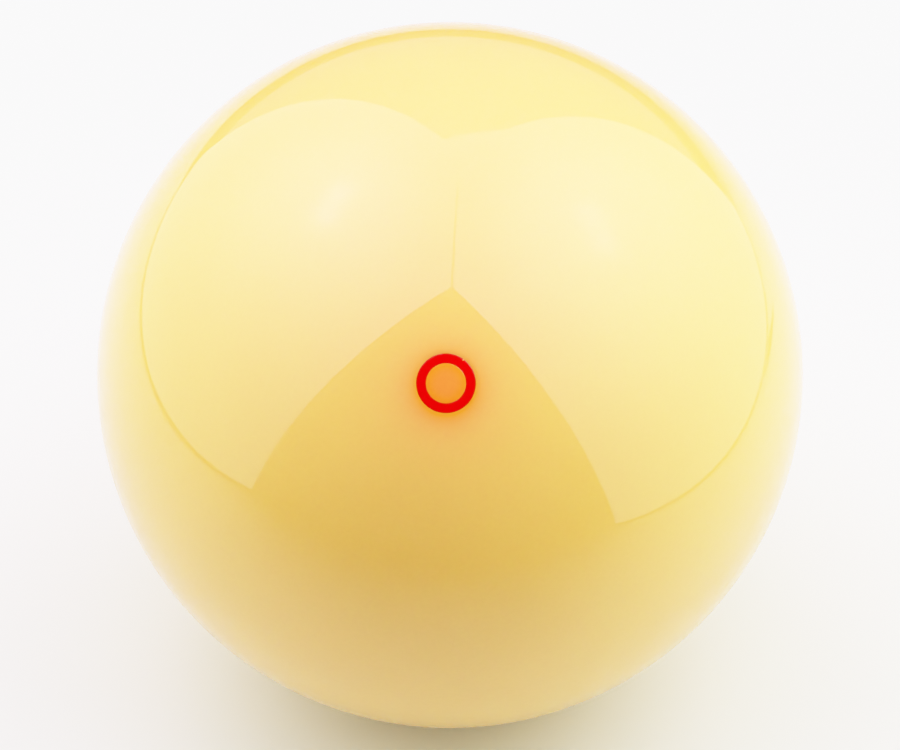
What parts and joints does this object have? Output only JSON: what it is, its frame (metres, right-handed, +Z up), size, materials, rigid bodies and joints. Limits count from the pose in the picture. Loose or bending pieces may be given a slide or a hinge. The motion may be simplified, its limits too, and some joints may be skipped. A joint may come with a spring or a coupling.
{
  "type": "cue ball",
  "caption": "Solid pale ivory-yellow resin pool cue ball with a small red ring inlaid flush in its polished surface, the ball that the cue strikes.",
  "frame": {"origin": "the ball's centre; it rests on a level surface 28.575 mm below the origin", "axes": "+Z up, -Y the front, +X to the right seen from the front; the mark's axis lies in the YZ plane, 40 degrees above -Y"},
  "size_m": [0.0572, 0.0572, 0.0572],
  "materials": {
    "ivory_resin": "polished",
    "red_resin": "polished",
    "core_resin": "polished"
  },
  "bodies": {
    "root": {"ball_body": "ivory_resin", "ring_inlay": "red_resin", "core_plug": "core_resin"}
  },
  "joints": []
}
